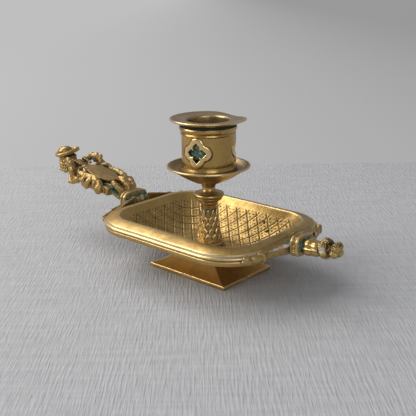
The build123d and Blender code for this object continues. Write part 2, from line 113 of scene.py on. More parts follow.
def brass(name, clean, brown, age, polish, green, grain=0.35, reach=2.6):
    """Aged brass: bright where rubbed, brown where dull, with dirt, green salts and chalky polish in the hollows, and
    painted shade darkening the hollows.
    """
    clean, brown, crevice = (*clean, 1), (*brown, 1), (*(0.55 * share for share in brown), 1)
    # The near-black grime tone is also used as painted shade in the hollows.
    gilt, grime_and_shade, dry_polish = (0.86, 0.64, 0.31, 1), (0.030, 0.022, 0.010, 1), (0.62, 0.61, 0.55, 1)
    verdigris, bloom = (0.016, 0.110, 0.090, 1), (0.20, 0.44, 0.38, 1)
    f = Finish(name)
    where = f.node("ShaderNodeTexCoord", output="Object")
    broad = f.cloud(where, 16, 3)
    patch = f.cloud(where, 3.8, 4, 0.6)
    speck = f.cloud(where, 0.7, 3)
    hollow = 1 - f.node("ShaderNodeAmbientOcclusion", {"samples": 5}, {"Distance": reach * MM}, output="AO")
    facing_up = f.node("ShaderNodeSeparateXYZ", sockets={0: f.node("ShaderNodeNewGeometry", output="Normal")},
                       output="Z")
    edge = f.rise(f.node("ShaderNodeNewGeometry", output="Pointiness"), 0.515, 0.60)
    # This painted value holds dirt, and on some pieces painted shade as well.
    dirt_and_shade = f.painted("dirt_and_shade")
    dull = f.rise(broad * 0.7 + patch * 0.55 + facing_up * 0.14 + hollow * 0.6 + age, 0.55, 1.15)
    rubbed = f.rise(f.painted("worn") + edge * 0.7 + (speck - 0.5) * 0.5, 0.15, 0.9)
    # This mask lays the near-black tone where dirt is painted on the points, and as painted shade in every hollow the
    # ambient occlusion finds.
    grime_and_shade_mask = f.rise(hollow * 0.95 + dirt_and_shade + (patch - 0.5) * 0.6, 0.36, 0.85)
    salts = f.rise(f.painted("salts") + hollow * green + (patch - 0.5) * 0.9 + (speck - 0.5) * 0.5, 0.62, 0.95)
    chalky = f.rise(f.painted("chalk") + (patch - 0.5) * 1.1 + (speck - 0.5) * 0.4, 0.45, 0.75)
    pale = f.rise(f.cloud(where, 1.3, 3), 0.50, 0.64)
    colour = f.mix(dull, clean, brown)
    colour = f.mix(f.rise(speck, 0.45, 0.8) * 0.35, colour, crevice)
    colour = f.mix(rubbed * 0.7, colour, gilt)
    colour = f.mix(grime_and_shade_mask * 0.92, colour, grime_and_shade)
    colour = f.mix(salts, colour, f.mix(pale, verdigris, bloom))
    colour = f.mix(chalky * 0.85, colour, dry_polish)
    rough = (polish + dull * 0.12 + (speck - 0.5) * 0.12 + (patch - 0.5) * 0.12) * (1 - rubbed * 0.25)
    rough = rough + grime_and_shade_mask * 0.30 + salts * 0.45 + chalky * 0.3
    metal = (1 - grime_and_shade_mask * 0.55) * (1 - salts) * (1 - chalky * 0.9) * (0.96 - dull * 0.10)
    relief = patch * 0.5 + speck * 0.3 + f.cloud(where, 0.25, 2) * 0.12 + salts * pale * 0.8
    bump = f.node("ShaderNodeBump", sockets={"Strength": grain, "Distance": 0.12 * MM, "Height": relief})
    shader = f.node("ShaderNodeBsdfPrincipled", sockets={
        "Base Color": colour, "Metallic": metal, "Roughness": rough, "Normal": bump})
    f.node("ShaderNodeOutputMaterial", sockets={"Surface": shader})
    return f.material


def paint(bm, name, amount):
    """Writes a value on every point, from its place in millimetres."""
    layer = bm.verts.layers.float.get(name) or bm.verts.layers.float.new(name)
    for vert in bm.verts:
        vert[layer] = amount(vert.co)


def make_piece(name, bm, material, slot, *nodes, body="stand", sharp=38):
    """Turns a mesh modelled in millimetres into a finished piece that stands for the named CAD nodes."""
    bmesh.ops.remove_doubles(bm, verts=bm.verts, dist=0.002)
    bmesh.ops.recalc_face_normals(bm, faces=bm.faces)
    for face in bm.faces:
        face.smooth = True
    for joint in bm.edges:
        joint.smooth = len(joint.link_faces) != 2 or joint.calc_face_angle() < radians(sharp)
    bmesh.ops.scale(bm, vec=(MM, MM, MM), verts=bm.verts)
    mesh = bpy.data.meshes.new(name)
    bm.to_mesh(mesh)
    bm.free()
    mesh.materials.append(material)
    piece = bpy.data.objects.new(name, mesh)
    bpy.context.scene.collection.objects.link(piece)
    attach(piece, body)
    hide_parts(*nodes)


def box_mm(node):
    """A CAD node's lowest and highest corners, in millimetres."""
    return [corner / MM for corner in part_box(node)]


def rim_edges(bm):
    return [joint for joint in bm.edges if joint.is_boundary]


def rim_points(bm):
    return [vert for vert in bm.verts if vert.is_boundary]


def grow_loop(bm, loop, place):
    """Draws a loop of edges out into one more ring of faces, each new point set by place, and gives the new loop."""
    made = bmesh.ops.extrude_edge_only(bm, edges=loop)["geom"]
    for item in made:
        if isinstance(item, bmesh.types.BMVert):
            item.co = place(item)
    return [item for item in made if isinstance(item, bmesh.types.BMEdge) and item.is_boundary]


foot_brass = brass("foot_brass", (0.84, 0.55, 0.20), (0.50, 0.30, 0.10), age=0.0, polish=0.33, green=0.10)
foot_high = box_mm("foot")[1]
foot_top_x, foot_top_y = 10.6, 9.0
lip_height = 1.95
foot_steps = ((0.05, 10.75), (0.10, 9.6), (0.20, 8.1), (0.33, 6.5), (0.48, 5.0), (0.63, 3.8), (0.78, 2.9),
              (0.90, 2.35), (0.955, 2.15), (0.985, 2.05), (1.0, 1.8), (1.0, 0.25), (0.985, 0.0))

bm = bmesh.new()
bmesh.ops.create_grid(bm, x_segments=24, y_segments=20, size=1.0)
flat_inset, underside = 0.4, ((1.9, 0.0), (2.2, 0.3), (3.0, 1.6), (12.0, 4.6), (16.0, 8.6))
bmesh.ops.scale(bm, vec=(foot_top_x - flat_inset, foot_top_y - flat_inset, 1), verts=bm.verts)
bmesh.ops.translate(bm, vec=(0, 0, foot_high.z), verts=bm.verts)


def foot_ring(half_x, half_y, height):
    """The rectangle at one level: every point keeps its share of the way along its side."""
    reach_x = max(vert.co.x for vert in rim_points(bm))
    reach_y = max(vert.co.y for vert in rim_points(bm))
    grow_loop(bm, rim_edges(bm), lambda vert: Vector((vert.co.x / reach_x * half_x, vert.co.y / reach_y * half_y,
                                                      height)))


for share, height in foot_steps:
    foot_ring(foot_top_x + (foot_high.x - foot_top_x) * share, foot_top_y + (foot_high.y - foot_top_y) * share, height)
for inset, height in underside:
    foot_ring(foot_high.x - inset, foot_high.y - inset * 0.75, height)
grow_loop(bm, rim_edges(bm), lambda vert: Vector((0, 0, 9.2)))
corner_only = 60
hips = [joint for joint in bm.edges if len(joint.link_faces) == 2 and joint.calc_face_angle() > radians(24)
        and abs(joint.verts[0].co.x * joint.verts[1].co.y) > corner_only]
bmesh.ops.bevel(bm, geom=hips, affect="EDGES", offset=0.22, segments=2, profile=0.5, material=-1)
paint(bm, "worn", lambda p: max(0, 1 - abs(p.z - lip_height) / 0.35) * 0.9 if p.x ** 2 + p.y ** 2 > 200 else 0)
# A darker band is painted in the crease above the lip, and a painted shade along the top edge, just under the tray.
paint(bm, "dirt_and_shade", lambda p: 0.45 * max(0, 1 - abs(p.z - 2.7) / 0.8) + 0.3 * max(0, 1 - (10.8 - p.z) / 1.5))
make_piece("foot_plinth", bm, foot_brass, "foot_brass", "foot")


# -------- tray
# A deep rectangular dish with rounded corners, its inside cast with a net of crossed lines and small florets.
# The rim is one moulding: a wide rounded band, a groove and a bead over a thin lip, hollow underneath.
tray_brass = brass("tray_brass", (0.57, 0.38, 0.13), (0.30, 0.188, 0.062), age=0.07, polish=0.36, green=0.06)
tray_low, tray_high = box_mm("tray")
rim_reach = 8.3
crest_x, crest_y, crest_z = tray_high.x - rim_reach, tray_high.y - rim_reach, tray_high.z
crest_corner, floor_corner = 16.5, 7.0
dish_inset, dish_depth = 23.5, 15.9
net_pitch = 5.0
net_steps = (0.0, 0.17, 0.42, 0.85, 1.3, 1.7, 2.1, 2.5, 2.9, 3.3, 3.7, 4.15, 4.58, 4.83)
net_shift = 2.0
margin = 0.11
casting_flaws = ((15.6, 26.5, 0.9, 0.5), (-7.6, 2.5, 0.5, 0.3), (-4.2, -7.0, 0.5, 0.3), (20.5, 23.0, 1.2, 0.2),
                 (-30.0, 9.0, 0.5, 0.25), (31.0, -3.0, 0.6, 0.25))


def core(share):
    """Half sizes of the straight core of the dish's outline, and its corner radius, from crest 0 to floor 1."""
    slack = dish_inset - crest_corner + floor_corner
    return (crest_x - crest_corner - slack * share, crest_y - crest_corner - slack * share,
            crest_corner + (floor_corner - crest_corner) * share)


def dish_share(x, y):
    """How far down the dish's wall a place in plan is: 0 at the crest, 1 on the flat floor."""
    share = min((crest_x - abs(x)) / dish_inset, (crest_y - abs(y)) / dish_inset)
    half_x, half_y, radius = core(share)
    if abs(x) > half_x and abs(y) > half_y:
        slack = dish_inset - crest_corner + floor_corner
        u, v = abs(x) - core(0)[0], abs(y) - core(0)[1]
        a = 2 * slack ** 2 - (crest_corner - floor_corner) ** 2
        b = 2 * slack * (u + v) + 2 * crest_corner * (crest_corner - floor_corner)
        c = u * u + v * v - crest_corner ** 2
        share = (sqrt(max(b * b - 4 * a * c, 0)) - b) / (2 * a)
    return max(0.0, min(1.0, share))


def dish_height(share):
    return crest_z - dish_depth * (1 - (1 - share) ** 2)


def net_relief(x, y):
    """Height and dirt of the cast net: crossed grooves, and four pits round a low floret in every mesh."""
    across, along = (x - net_shift + y) / sqrt(2), (x - net_shift - y) / sqrt(2)
    across, along = (across + 500) % net_pitch - net_pitch / 2, (along + 500) % net_pitch - net_pitch / 2
    line = max(0.0, 1 - (net_pitch / 2 - max(abs(across), abs(along))) / 0.36)
    p, q = (across + along) / sqrt(2), (across - along) / sqrt(2)
    pit = max(0.0, 1 - hypot(p, abs(q) - 1.35) / 0.72, 1 - hypot((abs(p) - 1.35) * 0.8, q * 1.4) / 0.72)
    petal = max(0.0, 1 - hypot(abs(across) - 1.15, abs(along) - 1.15) / 0.95)
    return -0.28 * line - 0.46 * pit + 0.22 * petal, min(1.0, 0.14 + line * 0.7 + pit * 0.95)


def point_values(bm, *names):
    """Adds named values to every point. All are made before any is used, because each new one moves the rest."""
    for name in names:
        bm.verts.layers.float.new(name)
    return [bm.verts.layers.float[name] for name in names]


bm = bmesh.new()
cells = ceil((crest_x + crest_y) / sqrt(2) / net_pitch) + 1
count = 2 * cells * len(net_steps)
bmesh.ops.create_grid(bm, x_segments=count, y_segments=count, size=count / 2)


def net_line(index):
    """The place of one line of the grid, closer together where the grooves run."""
    cell, step = divmod(round(index), len(net_steps))
    return cell * net_pitch + net_steps[step]


for vert in bm.verts:
    a, b = net_line(vert.co.x), net_line(vert.co.y)
    vert.co = ((a + b) / sqrt(2) + net_shift, (b - a) / sqrt(2), 0)
edge_x, edge_y, edge_corner = core(margin)
out_x, out_y = edge_x + edge_corner, edge_y + edge_corner
bmesh.ops.delete(bm, context="VERTS", geom=[
    v for v in bm.verts if abs(v.co.x) > out_x + 0.8 or abs(v.co.y) > out_y + 0.8
    or hypot(max(0, abs(v.co.x) - edge_x), max(0, abs(v.co.y) - edge_y)) > edge_corner + 0.8])
for quarter, (side_x, side_y) in enumerate(((1, 1), (-1, 1), (-1, -1), (1, -1))):
    corner = Vector((side_x * edge_x, side_y * edge_y, 0))
    for step in range(7):
        turn = radians(quarter * 90 + step * 90 / 7)
        normal = Vector((cos(turn), sin(turn), 0))
        near = [f for f in bm.faces if (f.calc_center_median() - corner).dot(normal) > edge_corner - 1.2]
        geom = list(dict.fromkeys(item for f in near for item in (*f.verts, *f.edges, f)))
        bmesh.ops.bisect_plane(bm, geom=geom, dist=0.0005, plane_co=corner + normal * edge_corner, plane_no=normal,
                               clear_outer=True)
bmesh.ops.remove_doubles(bm, dist=0.13, verts=rim_points(bm))
core_layer, out_layer = bm.verts.layers.float_vector.new("core"), bm.verts.layers.float_vector.new("out")
for vert in rim_points(bm):
    inner = Vector((max(-edge_x, min(edge_x, vert.co.x)), max(-edge_y, min(edge_y, vert.co.y)), 0))
    vert[out_layer] = (vert.co - inner).normalized()
    vert[core_layer] = (inner.x / edge_x, inner.y / edge_y, 0)
    vert.co = inner + vert[out_layer] * edge_corner
dirt_and_shade, worn, chalk = point_values(bm, "dirt_and_shade", "worn", "chalk")
for vert in bm.verts:
    vert.co.z = dish_height(dish_share(vert.co.x, vert.co.y))
bm.normal_update()
for vert in bm.verts:
    x, y = vert.co.x, vert.co.y
    if vert.is_boundary:
        continue
    share = dish_share(x, y)
    fade = min(1.0, (share - margin) / 0.02)
    height, vert[dirt_and_shade] = net_relief(x, y)
    height, vert[dirt_and_shade] = height * fade * 0.8, vert[dirt_and_shade] * fade
    wobble = 0.12 * noise.noise(Vector((x, y, 3.0)) * 0.16)
    for flaw_x, flaw_y, size, depth in casting_flaws:
        hole = max(0.0, 1 - hypot(x - flaw_x, y - flaw_y) / size)
        height, vert[dirt_and_shade] = height - depth * hole, min(1.0, vert[dirt_and_shade] + 1.5 * hole)
    vert.co += vert.normal * ((height + wobble * fade) * (1 if vert.normal.z > 0 else -1))


def tray_ring(share, grow, height, rub=0.0, grime_and_shade=0.0, residue=0.0):
    """One line of the moulding: the outline at a share of the dish, let out by grow."""
    half_x, half_y, radius = core(share)

    def place(vert):
        vert[worn], vert[dirt_and_shade], vert[chalk] = rub, grime_and_shade, residue
        at = Vector((vert[core_layer].x * half_x, vert[core_layer].y * half_y, height))
        return at + vert[out_layer] * (radius + grow)

    grow_loop(bm, rim_edges(bm), place)


for share in (0.085, 0.06, 0.035, 0.015):
    tray_ring(share, 0, dish_height(share), 0.1)
band = ((0.12, 0.03, 0.8), (0.7, 0.06, 0.4), (1.6, 0.17, 0.15), (2.7, 0.38, 0.1), (3.8, 0.68, 0.1), (4.8, 1.02, 0.1),
        (5.7, 1.38, 0.2), (6.4, 1.66, 0.5), (6.75, 1.84, 1.0), (6.86, 1.96, 0.8), (6.82, 2.1, 0.1), (6.72, 2.28, 0),
        (6.74, 2.48, 0), (6.88, 2.62, 0), (7.2, 2.66, 0.2), (7.65, 2.76, 0.6), (8.05, 3.0, 0.8), (8.28, 3.37, 0.9),
        (8.22, 3.78, 0.5), (7.88, 4.12, 0.2), (7.52, 4.32, 0), (7.36, 4.5, 0), (7.44, 4.66, 0.2), (7.68, 4.78, 0.7),
        (7.8, 5.0, 0.6), (7.7, 5.8, 0.1), (7.5, 6.7, 0.1), (7.38, 7.0, 0.5), (7.1, 7.1, 0.2), (5.7, 7.1, 0),
        (5.42, 6.95, 0), (5.2, 5.4, 0), (4.95, 4.1, 0), (3.2, 3.2, 0), (1.0, 2.4, 0), (-0.4, 2.75, 0))
# The grooves of the moulding are painted darker.
groove_darkening = {2.62: 0.15, 4.32: 0.15, 4.5: 0.35}
groove_chalk = {1.96: 0.4, 2.1: 0.75, 2.28: 0.85, 2.48: 0.82, 2.62: 0.5}
for grow, drop, rub in band:
    tray_ring(0, grow, crest_z - drop, rub, groove_darkening.get(drop, 0), groove_chalk.get(drop, 0))
wall_thickness, floor_thickness = 1.5, 2.2
for share in (0.05, 0.15, 0.28, 0.42, 0.57, 0.72, 0.86, 1.0):
    tray_ring(share, wall_thickness, dish_height(share) - floor_thickness)
tray_ring(1.0, -4.0, tray_low.z)
grow_loop(bm, rim_edges(bm), lambda vert: Vector((0, 0, tray_low.z)))
for vert in bm.verts:
    if vert.co.z > crest_z - 7.5 and not vert.is_boundary:
        vert.co += Vector((0, 0, 0.10)) * noise.noise(Vector((vert.co.x, vert.co.y, 0)) * 0.05)
for kind in ("core", "out"):
    bm.verts.layers.float_vector.remove(bm.verts.layers.float_vector[kind])
make_piece("tray_dish", bm, tray_brass, "tray_brass", "tray", sharp=60)


# -------- tie rod, bush, stem and knop
# A turned bush stands on the tray and carries a tapering stem cast with rows of pointed leaves, tips upward.
# Above it a turned knop with a neck ring. One rod, nut and washer inside the cup draw them all down on the foot.
turned_brass = brass("turned_brass", (0.60, 0.40, 0.145), (0.36, 0.22, 0.080),
                     age=0.12, polish=0.25, green=0.12, grain=0.2)
leaf_brass = brass("leaf_brass", (0.86, 0.66, 0.33), (0.56, 0.40, 0.18), age=-0.08, polish=0.27, green=0.06, reach=1.0)
fixing_brass = brass("fixing_brass", (0.52, 0.35, 0.14), (0.28, 0.18, 0.07), age=0.25, polish=0.38, green=0.25)


def refinish(material, *names):
    """Gives CAD pieces whose shape is already right their finish."""
    for name in names:
        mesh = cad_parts[name].data
        mesh.materials.clear()
        mesh.materials.append(material)


def turn_profile(bm, steps, *runs):
    """Turns a half outline all the way round the stem's axis: runs of (radius, rise) points, each from its own base."""
    verts = [bm.verts.new((radius, 0, base + rise)) for base, run in runs for radius, rise in run]
    edges = [bm.edges.new(pair) for pair in zip(verts, verts[1:])]
    bmesh.ops.spin(bm, geom=verts + edges, cent=(0, 0, 0), axis=(0, 0, 1), dvec=(0, 0, 0), angle=tau,
                   steps=steps, use_merge=True)
    bmesh.ops.remove_doubles(bm, verts=bm.verts, dist=0.001)


refinish(turned_brass, "stem_bush", "knop")
refinish(fixing_brass, "tie_rod", "tie_washer", "tie_nut")
stem_low, stem_high = box_mm("stem")
stem_width = ((0.0, 6.45), (4.0, 5.75), (12.2, 4.5), (18.2, 3.85))
leaf_rows = ((0.2, 4.6), (3.2, 4.6), (6.3, 4.6), (9.3, 4.6), (12.2, 5.6))
leaves_round = 10


def stem_radius(rise):
    for (low, wide), (high, narrow) in zip(stem_width, stem_width[1:]):
        if rise <= high:
            return wide + (narrow - wide) * (rise - low) / (high - low)
    return stem_width[-1][1]


def leaf_height(angle, rise):
    """How proud the leaf casing stands, and how dirty it is: each leaf has a raised border and a midrib."""
    for row, (foot_at, length) in enumerate(leaf_rows):
        along = (rise - foot_at) / length
        if not 0 <= along <= 1:
            continue
        sweep = (angle / tau * leaves_round + 0.5 * (row % 2)) % 1 - 0.5
        width = 0.56 * (1 - along ** 2.0)
        if abs(sweep) > width:
            continue
        inward = min(1.0, (width - abs(sweep)) / 0.13)
        border = max(0.0, 1 - abs(inward - 0.45) / 0.55)
        rib = max(0.0, 1 - abs(sweep) / 0.07) * (1 - along)
        return 0.12 + 0.42 * along + 0.26 * border + 0.14 * rib, 0.06 * inward + (0.5 if inward < 0.2 else 0.0)
    return 0.0, 0.75


bm = bmesh.new()
rows, rod_hole = 112, 2.3
rises = [(stem_high.z - stem_low.z) * row / rows for row in range(rows + 1)]
turn_profile(bm, 160, (stem_low.z, [(rod_hole, 0), *((stem_radius(rise), rise) for rise in rises)]),
             (stem_high.z, [(rod_hole, 0)]))
dirt_and_shade, worn = point_values(bm, "dirt_and_shade", "worn")
for vert in bm.verts:
    reach = hypot(vert.co.x, vert.co.y)
    if reach > 3.0:
        proud, vert[dirt_and_shade] = leaf_height(atan2(vert.co.y, vert.co.x), vert.co.z - stem_low.z)
        ends = min(1.0, (vert.co.z - stem_low.z) / 0.5, (stem_high.z - vert.co.z) / 0.5)
        vert[worn] = max(0.0, proud * 1.1 - 0.4) * ends
        vert.co.xy *= 1 + proud * ends / reach
bmesh.ops.smooth_vert(bm, verts=bm.verts, factor=0.35, use_axis_x=True, use_axis_y=True, use_axis_z=False)
make_piece("stem_leaves", bm, leaf_brass, "cast_brass", "stem", sharp=75)


# -------- drip pan and candle cup
# The pan is turned with a flat edge and a bead line, on a flared neck. The cup is turned too, with a moulded
# lip and foot, and is pierced with three quatrefoil windows.
pan_brass = brass("pan_brass", (0.50, 0.36, 0.16), (0.26, 0.18, 0.085), age=0.28, polish=0.30, green=0.16, grain=0.25)
cup_brass = brass("cup_brass", (0.53, 0.35, 0.115), (0.32, 0.195, 0.060), age=0.06, polish=0.22, green=0.14, grain=0.12)
refinish(cup_brass, "candle_cup")
pan_high = box_mm("drip_pan")[1]
pan_r, seat_r, seat_z = pan_high.x, 14.1, box_mm("candle_cup")[0].z
bm = bmesh.new()
turn_profile(
    bm, 144,
    (seat_z, ((rod_hole, -9.2), (3.35, -9.2), (3.6, -8.2), (4.6, -7.1), (5.4, -6.5), (7.6, -6.0), (8.3, -5.85),
              (8.6, -5.6), (11.5, -4.2), (15.0, -2.1), (18.0, -0.1), (20.1, 1.05), (pan_r - 0.25, 1.45), (pan_r, 1.65),
              (pan_r, 2.15))),
    (pan_high.z, ((pan_r - 0.2, 0), (pan_r - 1.1, 0), (pan_r - 1.3, -0.22), (pan_r - 1.6, -0.15),
                  (pan_r - 2.0, -0.45))),
    (seat_z, ((pan_r - 3.2, 0.75), (pan_r - 5.0, 0.25), (seat_r + 0.1, 0.05), (seat_r - 0.2, -0.02),
              (rod_hole, -0.02))))
inner_line = pan_r - 1.3
paint(bm, "worn", lambda p: 0.9 if hypot(p.x, p.y) > pan_r - 0.3 else 0)
paint(bm, "dirt_and_shade", lambda p: 0.8 if abs(hypot(p.x, p.y) - inner_line) < 0.1 and p.z > seat_z + 1.5 else
      0.35 if hypot(p.x, p.y) < seat_r + 0.5 and p.z > seat_z - 0.5 else 0)
make_piece("pan_turning", bm, pan_brass, "turned_brass", "drip_pan", sharp=40)


# -------- quatrefoil windows
# Three separate cast frames, each four round lobes with the corners of a square between them and a four-pointed
# star cut through. They are soldered into shallow recesses round the cup, a thin dark line left about them.
frame_brass = brass("frame_brass", (0.80, 0.58, 0.26), (0.44, 0.29, 0.11),
                    age=-0.05, polish=0.24, green=0.20, grain=0.2)
cup_r = 13.6
star_corners = ((5.1, 0.0), (3.1, 1.9), (1.55, 1.55), (1.9, 3.1), (0.0, 5.1))


def lobed_reach(angle):
    """Distance from the middle of a frame to its outline."""
    c, s = abs(cos(angle)), abs(sin(angle))
    long, short = max(c, s), min(c, s)
    return max(4.45 / long, 3.75 * long + sqrt(4.05 ** 2 - (3.75 * short) ** 2))


def star_reach(angle):
    """Distance from the middle of a frame to the edge of its star."""
    x, y = abs(cos(angle)), abs(sin(angle))
    for (ax, ay), (bx, by) in zip(star_corners, star_corners[1:]):
        if ax * y - ay * x >= -1e-9 and bx * y - by * x <= 1e-9:
            return (ax * by - ay * bx) / (x * (by - ay) - y * (bx - ax))
    return 1.55


for number in (1, 2, 3):
    low, high = box_mm(f"quatrefoil_{number}")
    middle = (low + high) / 2
    facing = radians(-73.7 + 120 * (number - 1))
    bm = bmesh.new()
    bearings, worn, dirt_and_shade = point_values(bm, "bearing", "worn", "dirt_and_shade")
    circle = bmesh.ops.create_circle(bm, segments=120, radius=1.0)["verts"]
    for vert in circle:
        vert[bearings] = atan2(vert.co.y, vert.co.x)

    def frame_place(vert, share, inset, proud, rub, grime_and_shade):
        """A point between the star and the outline, wrapped round the cup."""
        vert[worn], vert[dirt_and_shade] = rub, grime_and_shade
        angle = vert[bearings]
        inner, outer = star_reach(angle), lobed_reach(angle)
        reach = inner + (outer - inner) * share + inset
        swing = facing + reach * cos(angle) / cup_r
        wall = cup_r + proud
        return Vector((wall * cos(swing), wall * sin(swing), middle.z + reach * sin(angle)))

    for vert in circle:
        vert.co = frame_place(vert, 0, 0, -0.75, 0, 1)
    loop = list(bm.edges)
    for ring in ((0, 0, -0.3, 0, 0.8), (0, 0.05, 0.12, 0.6, 0.2), (0, 0.32, 0.34, 1.0, 0), (0.35, 0, 0.46, 0.3, 0),
                 (0.7, 0, 0.46, 0.3, 0), (1, -0.5, 0.36, 0.8, 0), (1, -0.16, 0.12, 0.8, 0), (1, -0.02, -0.1, 0.1, 0.6),
                 (1, 0, -0.75, 0, 1)):
        loop = grow_loop(bm, loop, lambda vert: frame_place(vert, *ring))
    bmesh.ops.bridge_loops(bm, edges=rim_edges(bm))
    bm.verts.layers.float.remove(bm.verts.layers.float["bearing"])
    make_piece(f"window_frame_{number}", bm, frame_brass, "window_brass", f"quatrefoil_{number}", sharp=70)


# -------- nozzle
# The candle socket lifts out of the cup: a plain tube with a wide, slightly dished rim turned in one with it.
# Its rim has been knocked down at one side, where the edge is curled to a point; salts have grown on the tube.
nozzle_brass = brass("nozzle_brass", (0.52, 0.38, 0.19), (0.31, 0.215, 0.115),
                     age=0.14, polish=0.26, green=0.12, grain=0.2)
nozzle_low, nozzle_high = box_mm("nozzle")
bore_r, tube_r, lip_r, lip_z = 10.75, 11.95, nozzle_high.x, nozzle_high.z
dent_at, curl_at = 82, 40
bm = bmesh.new()
turn_profile(
    bm, 160,
    (nozzle_low.z, ((0, 0), (5, 0), (tube_r - 0.4, 0), (tube_r, 0.4))),
    (lip_z, ((tube_r, -14), (tube_r, -9), (tube_r, -4.15), (tube_r + 1.3, -4.05), (tube_r + 1.35, -3.1),
             (tube_r + 2.4, -2.75), (lip_r - 3.0, -2.1), (lip_r - 1.1, -1.35), (lip_r - 0.3, -0.95), (lip_r, -0.6),
             (lip_r - 0.05, -0.25), (lip_r - 0.35, -0.03), (lip_r - 0.8, -0.05), (lip_r - 1.2, -0.22),
             (lip_r - 2.6, -0.55), (bore_r + 4.6, -0.85), (bore_r + 2.4, -0.95), (bore_r + 1.0, -0.85),
             (bore_r + 0.45, -0.95), (bore_r + 0.1, -1.3), (bore_r, -1.9), (bore_r, -6), (bore_r, -12))),
    (nozzle_low.z, ((bore_r - 0.1, 1.5), (bore_r - 0.5, 1.2), (5, 1.2), (0, 1.2))))
for vert in bm.verts:
    reach = hypot(vert.co.x, vert.co.y)
    if vert.co.z < lip_z - 3.0 or reach < bore_r + 0.8:
        continue
    bearing = degrees(atan2(vert.co.y, vert.co.x))
    outward = (reach - bore_r - 0.8) / (lip_r - bore_r - 0.8)
    knocked = exp(-((bearing - dent_at) / 26) ** 2)
    curl = exp(-((bearing - curl_at) / 6.0) ** 2) - exp(-((bearing - curl_at) / 22) ** 2)
    vert.co.z += outward ** 2 * (0.45 * curl - 1.7 * knocked)
    vert.co.xy *= 1 - 0.03 * knocked * outward - 0.004 * outward
spot = Vector((5.2, 18.0, lip_z))
paint(bm, "salts", lambda p: 0.85 if p.z < lip_z - 4 and hypot(p.x, p.y) > tube_r - 0.2 else
      max(0.0, 1.15 - (p - spot).length / 1.6))
# The shoulder under the rim, where the nozzle sits on the cup, gets a near-black painted shadow.
paint(bm, "dirt_and_shade", lambda p: 0.95 if lip_z - 4.3 < p.z < lip_z - 2.6 and hypot(p.x, p.y) > tube_r else 0)
paint(bm, "worn", lambda p: 0.55 if hypot(p.x, p.y) > lip_r - 0.9 and p.z > lip_z - 3 else 0)
make_piece("nozzle_turning", bm, nozzle_brass, "nozzle_brass", "nozzle", body="nozzle", sharp=50)


# -------- end brackets
# At each end of the tray a yoke is cast in brass: two moulded straps run in from leaf buds on the rim's
# corners to a collar, with a low web between them. Rivets through the rim's lip hold it from inside.
cast_brass = brass("cast_brass", (0.58, 0.395, 0.155), (0.31, 0.20, 0.075),
                   age=0.18, polish=0.30, green=0.34, reach=3.5)
collar_low, collar_high = box_mm("finial_collar")
axis_z = (collar_low.z + collar_high.z) / 2
corner_x, corner_y = crest_x - crest_corner, crest_y - crest_corner
refinish(fixing_brass, "handle_stud", "finial_stud", "handle_rivets", "finial_rivets")


def egg(bm, place, size, lean=0.0, turn=0.0, detail=3):
    """One rounded lump of a casting, leaning along the stick and turned in plan, in radians."""
    tilt = Matrix.Rotation(turn, 4, "Z") @ Matrix.Rotation(lean, 4, "Y")
    bmesh.ops.create_icosphere(bm, subdivisions=detail, radius=1.0,
                               matrix=Matrix.Translation(place) @ tilt @ Matrix.Diagonal((*size, 1)))


def tendril(bm, points, sizes):
    """A tapering stalk through some points, laid down as a close row of lumps."""
    points = [Vector(point) for point in points]
    ends = [2 * points[0] - points[1], *points, 2 * points[-1] - points[-2]]
    for index in range(len(points) - 1):
        a, b, c, d = ends[index:index + 4]
        steps = max(2, ceil((c - b).length / (0.4 * min(sizes[index], sizes[index + 1]))))
        for step in range(steps + 1):
            t = step / steps
            place = 0.5 * (2 * b + (c - a) * t + (2 * a - 5 * b + 4 * c - d) * t ** 2
                           + (3 * b - a - 3 * c + d) * t ** 3)
            size = sizes[index] + (sizes[index + 1] - sizes[index]) * t
            egg(bm, place, (size, size, size), detail=2)


def block(bm, corners):
    """A six-sided lump; corners run bottom then top, each round from the low x, low y one."""
    bmesh.ops.create_cube(bm, size=1.0)
    for vert in bm.verts[-8:]:
        x, y, z = (value > 0 for value in vert.co)
        vert.co = corners[4 * z + 2 * y + (x != y)]


def cast(bm, voxel, rounds):
    """Melts overlapping lumps into one skin, as a casting, and softens it."""
    mesh = bpy.data.meshes.new("pattern")
    bm.to_mesh(mesh)
    bm.free()
    pattern = bpy.data.objects.new("pattern", mesh)
    bpy.context.scene.collection.objects.link(pattern)
    skin = pattern.modifiers.new("skin", "REMESH")
    skin.mode, skin.voxel_size = "VOXEL", voxel
    ready = bpy.data.meshes.new_from_object(pattern.evaluated_get(bpy.context.evaluated_depsgraph_get()))
    melted = bmesh.new()
    melted.from_mesh(ready)
    bpy.data.objects.remove(pattern)
    for old in (mesh, ready):
        bpy.data.meshes.remove(old)
    for _ in range(rounds):
        bmesh.ops.smooth_vert(melted, verts=melted.verts, factor=0.5, use_axis_x=True, use_axis_y=True,
                              use_axis_z=True)
    return melted


def rim_side(bearing, flank, outward, height):
    """A place on the rim's rounded corner, at a bearing in degrees from the tray's end."""
    angle = radians(bearing)
    reach = crest_corner + rim_reach + outward
    return Vector((corner_x + reach * cos(angle), flank * (corner_y + reach * sin(angle)), height))


